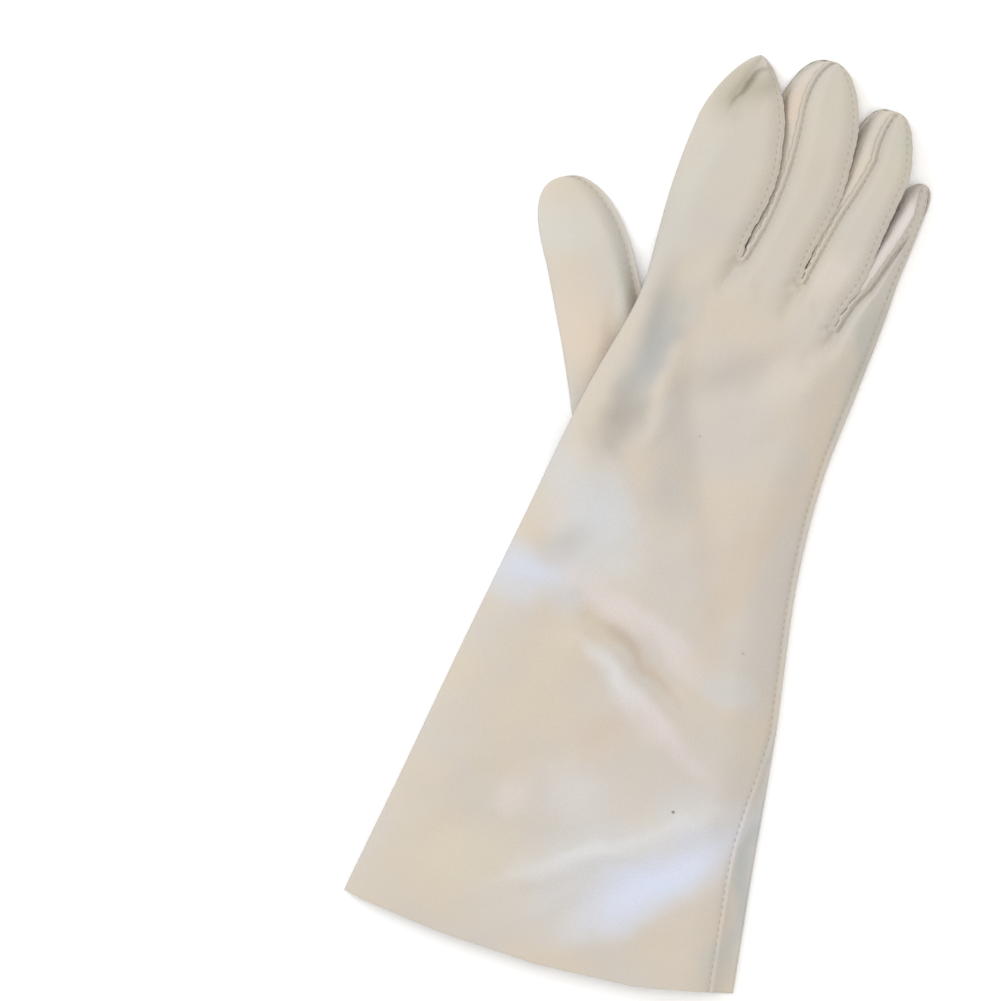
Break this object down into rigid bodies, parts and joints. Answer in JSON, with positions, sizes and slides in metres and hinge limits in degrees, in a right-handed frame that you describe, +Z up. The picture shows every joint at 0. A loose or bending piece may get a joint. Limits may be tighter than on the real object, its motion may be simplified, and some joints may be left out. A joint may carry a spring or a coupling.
{
  "type": "long dress glove",
  "caption": "Long cotton dress glove for a right hand, lying on its palm: a plain cuff open at the hem, four fingers with sewn side walls, and a separately sewn thumb.",
  "frame": {"origin": "centre of the underside of the bounding box, on the surface that the glove lies on", "axes": "+Y from the hem to the fingertips, +X from the thumb side to the little finger's side, +Z up out of the back of the hand"},
  "size_m": [0.1714, 0.3788, 0.0187],
  "materials": {
    "trank_cotton": "matte",
    "thumb_cotton": "matte",
    "fourchette_cotton": "matte"
  },
  "bodies": {
    "root": {"trank": "trank_cotton", "thumb": "thumb_cotton", "fourchette_index_middle": "fourchette_cotton", "fourchette_middle_ring": "fourchette_cotton", "fourchette_ring_little": "fourchette_cotton"}
  },
  "joints": []
}
